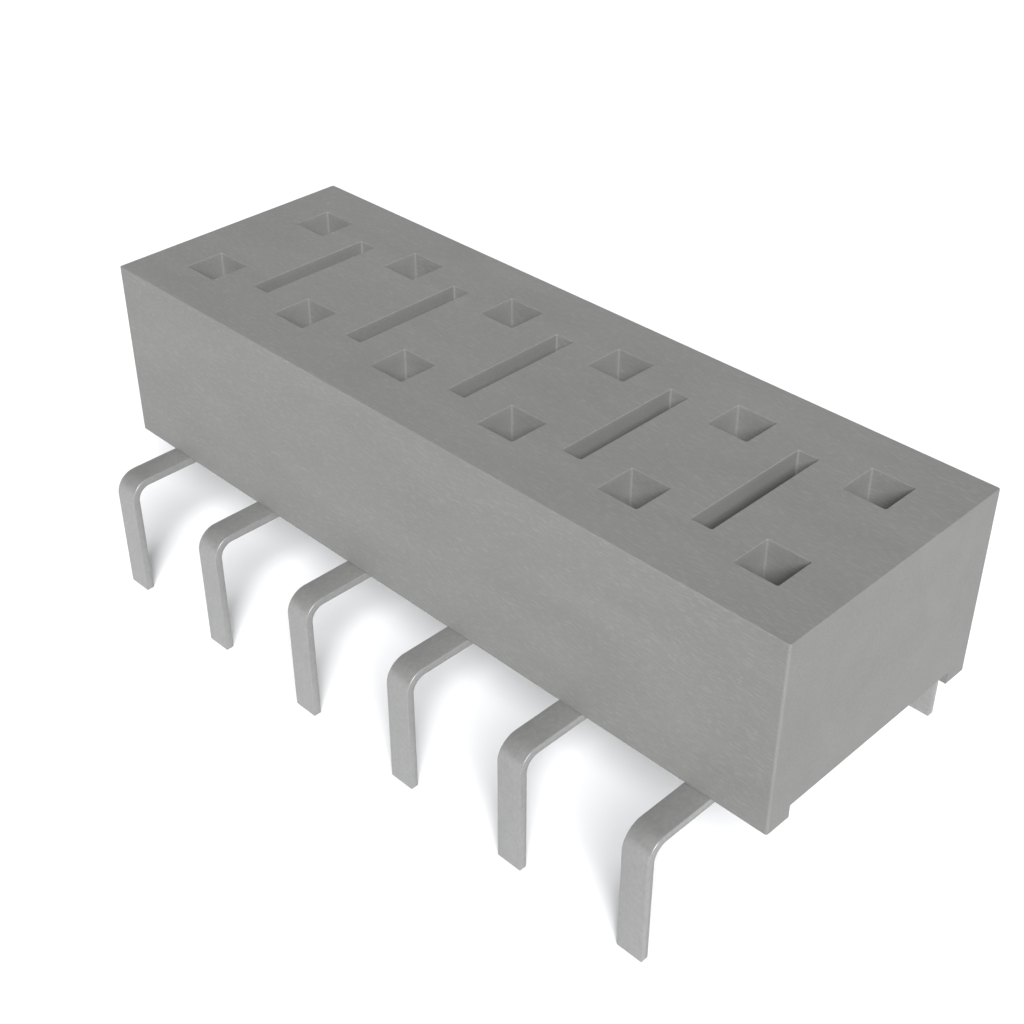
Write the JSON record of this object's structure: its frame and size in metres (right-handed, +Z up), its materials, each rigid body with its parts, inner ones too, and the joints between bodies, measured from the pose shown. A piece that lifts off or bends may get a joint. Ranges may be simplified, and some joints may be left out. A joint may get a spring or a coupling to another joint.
{
  "type": "socket strip",
  "caption": "Low-profile double-row board socket: moulded housing with square post entries and narrow slots, spring contacts with bent-out tails.",
  "frame": {"origin": "centre of the footprint, level with the tips of the tails", "axes": "+X along the rows, +Y from the front row to the rear row, +Z up, towards the post entries"},
  "size_m": [0.0152, 0.0078, 0.0059],
  "materials": {
    "housing_plastic": "matte",
    "contact_metal": "satin"
  },
  "bodies": {
    "root": {"housing": "housing_plastic", "contact_front_1": "contact_metal", "contact_front_2": "contact_metal", "contact_front_3": "contact_metal", "contact_front_4": "contact_metal", "contact_front_5": "contact_metal", "contact_front_6": "contact_metal", "contact_rear_1": "contact_metal", "contact_rear_2": "contact_metal", "contact_rear_3": "contact_metal", "contact_rear_4": "contact_metal", "contact_rear_5": "contact_metal", "contact_rear_6": "contact_metal"}
  },
  "joints": []
}
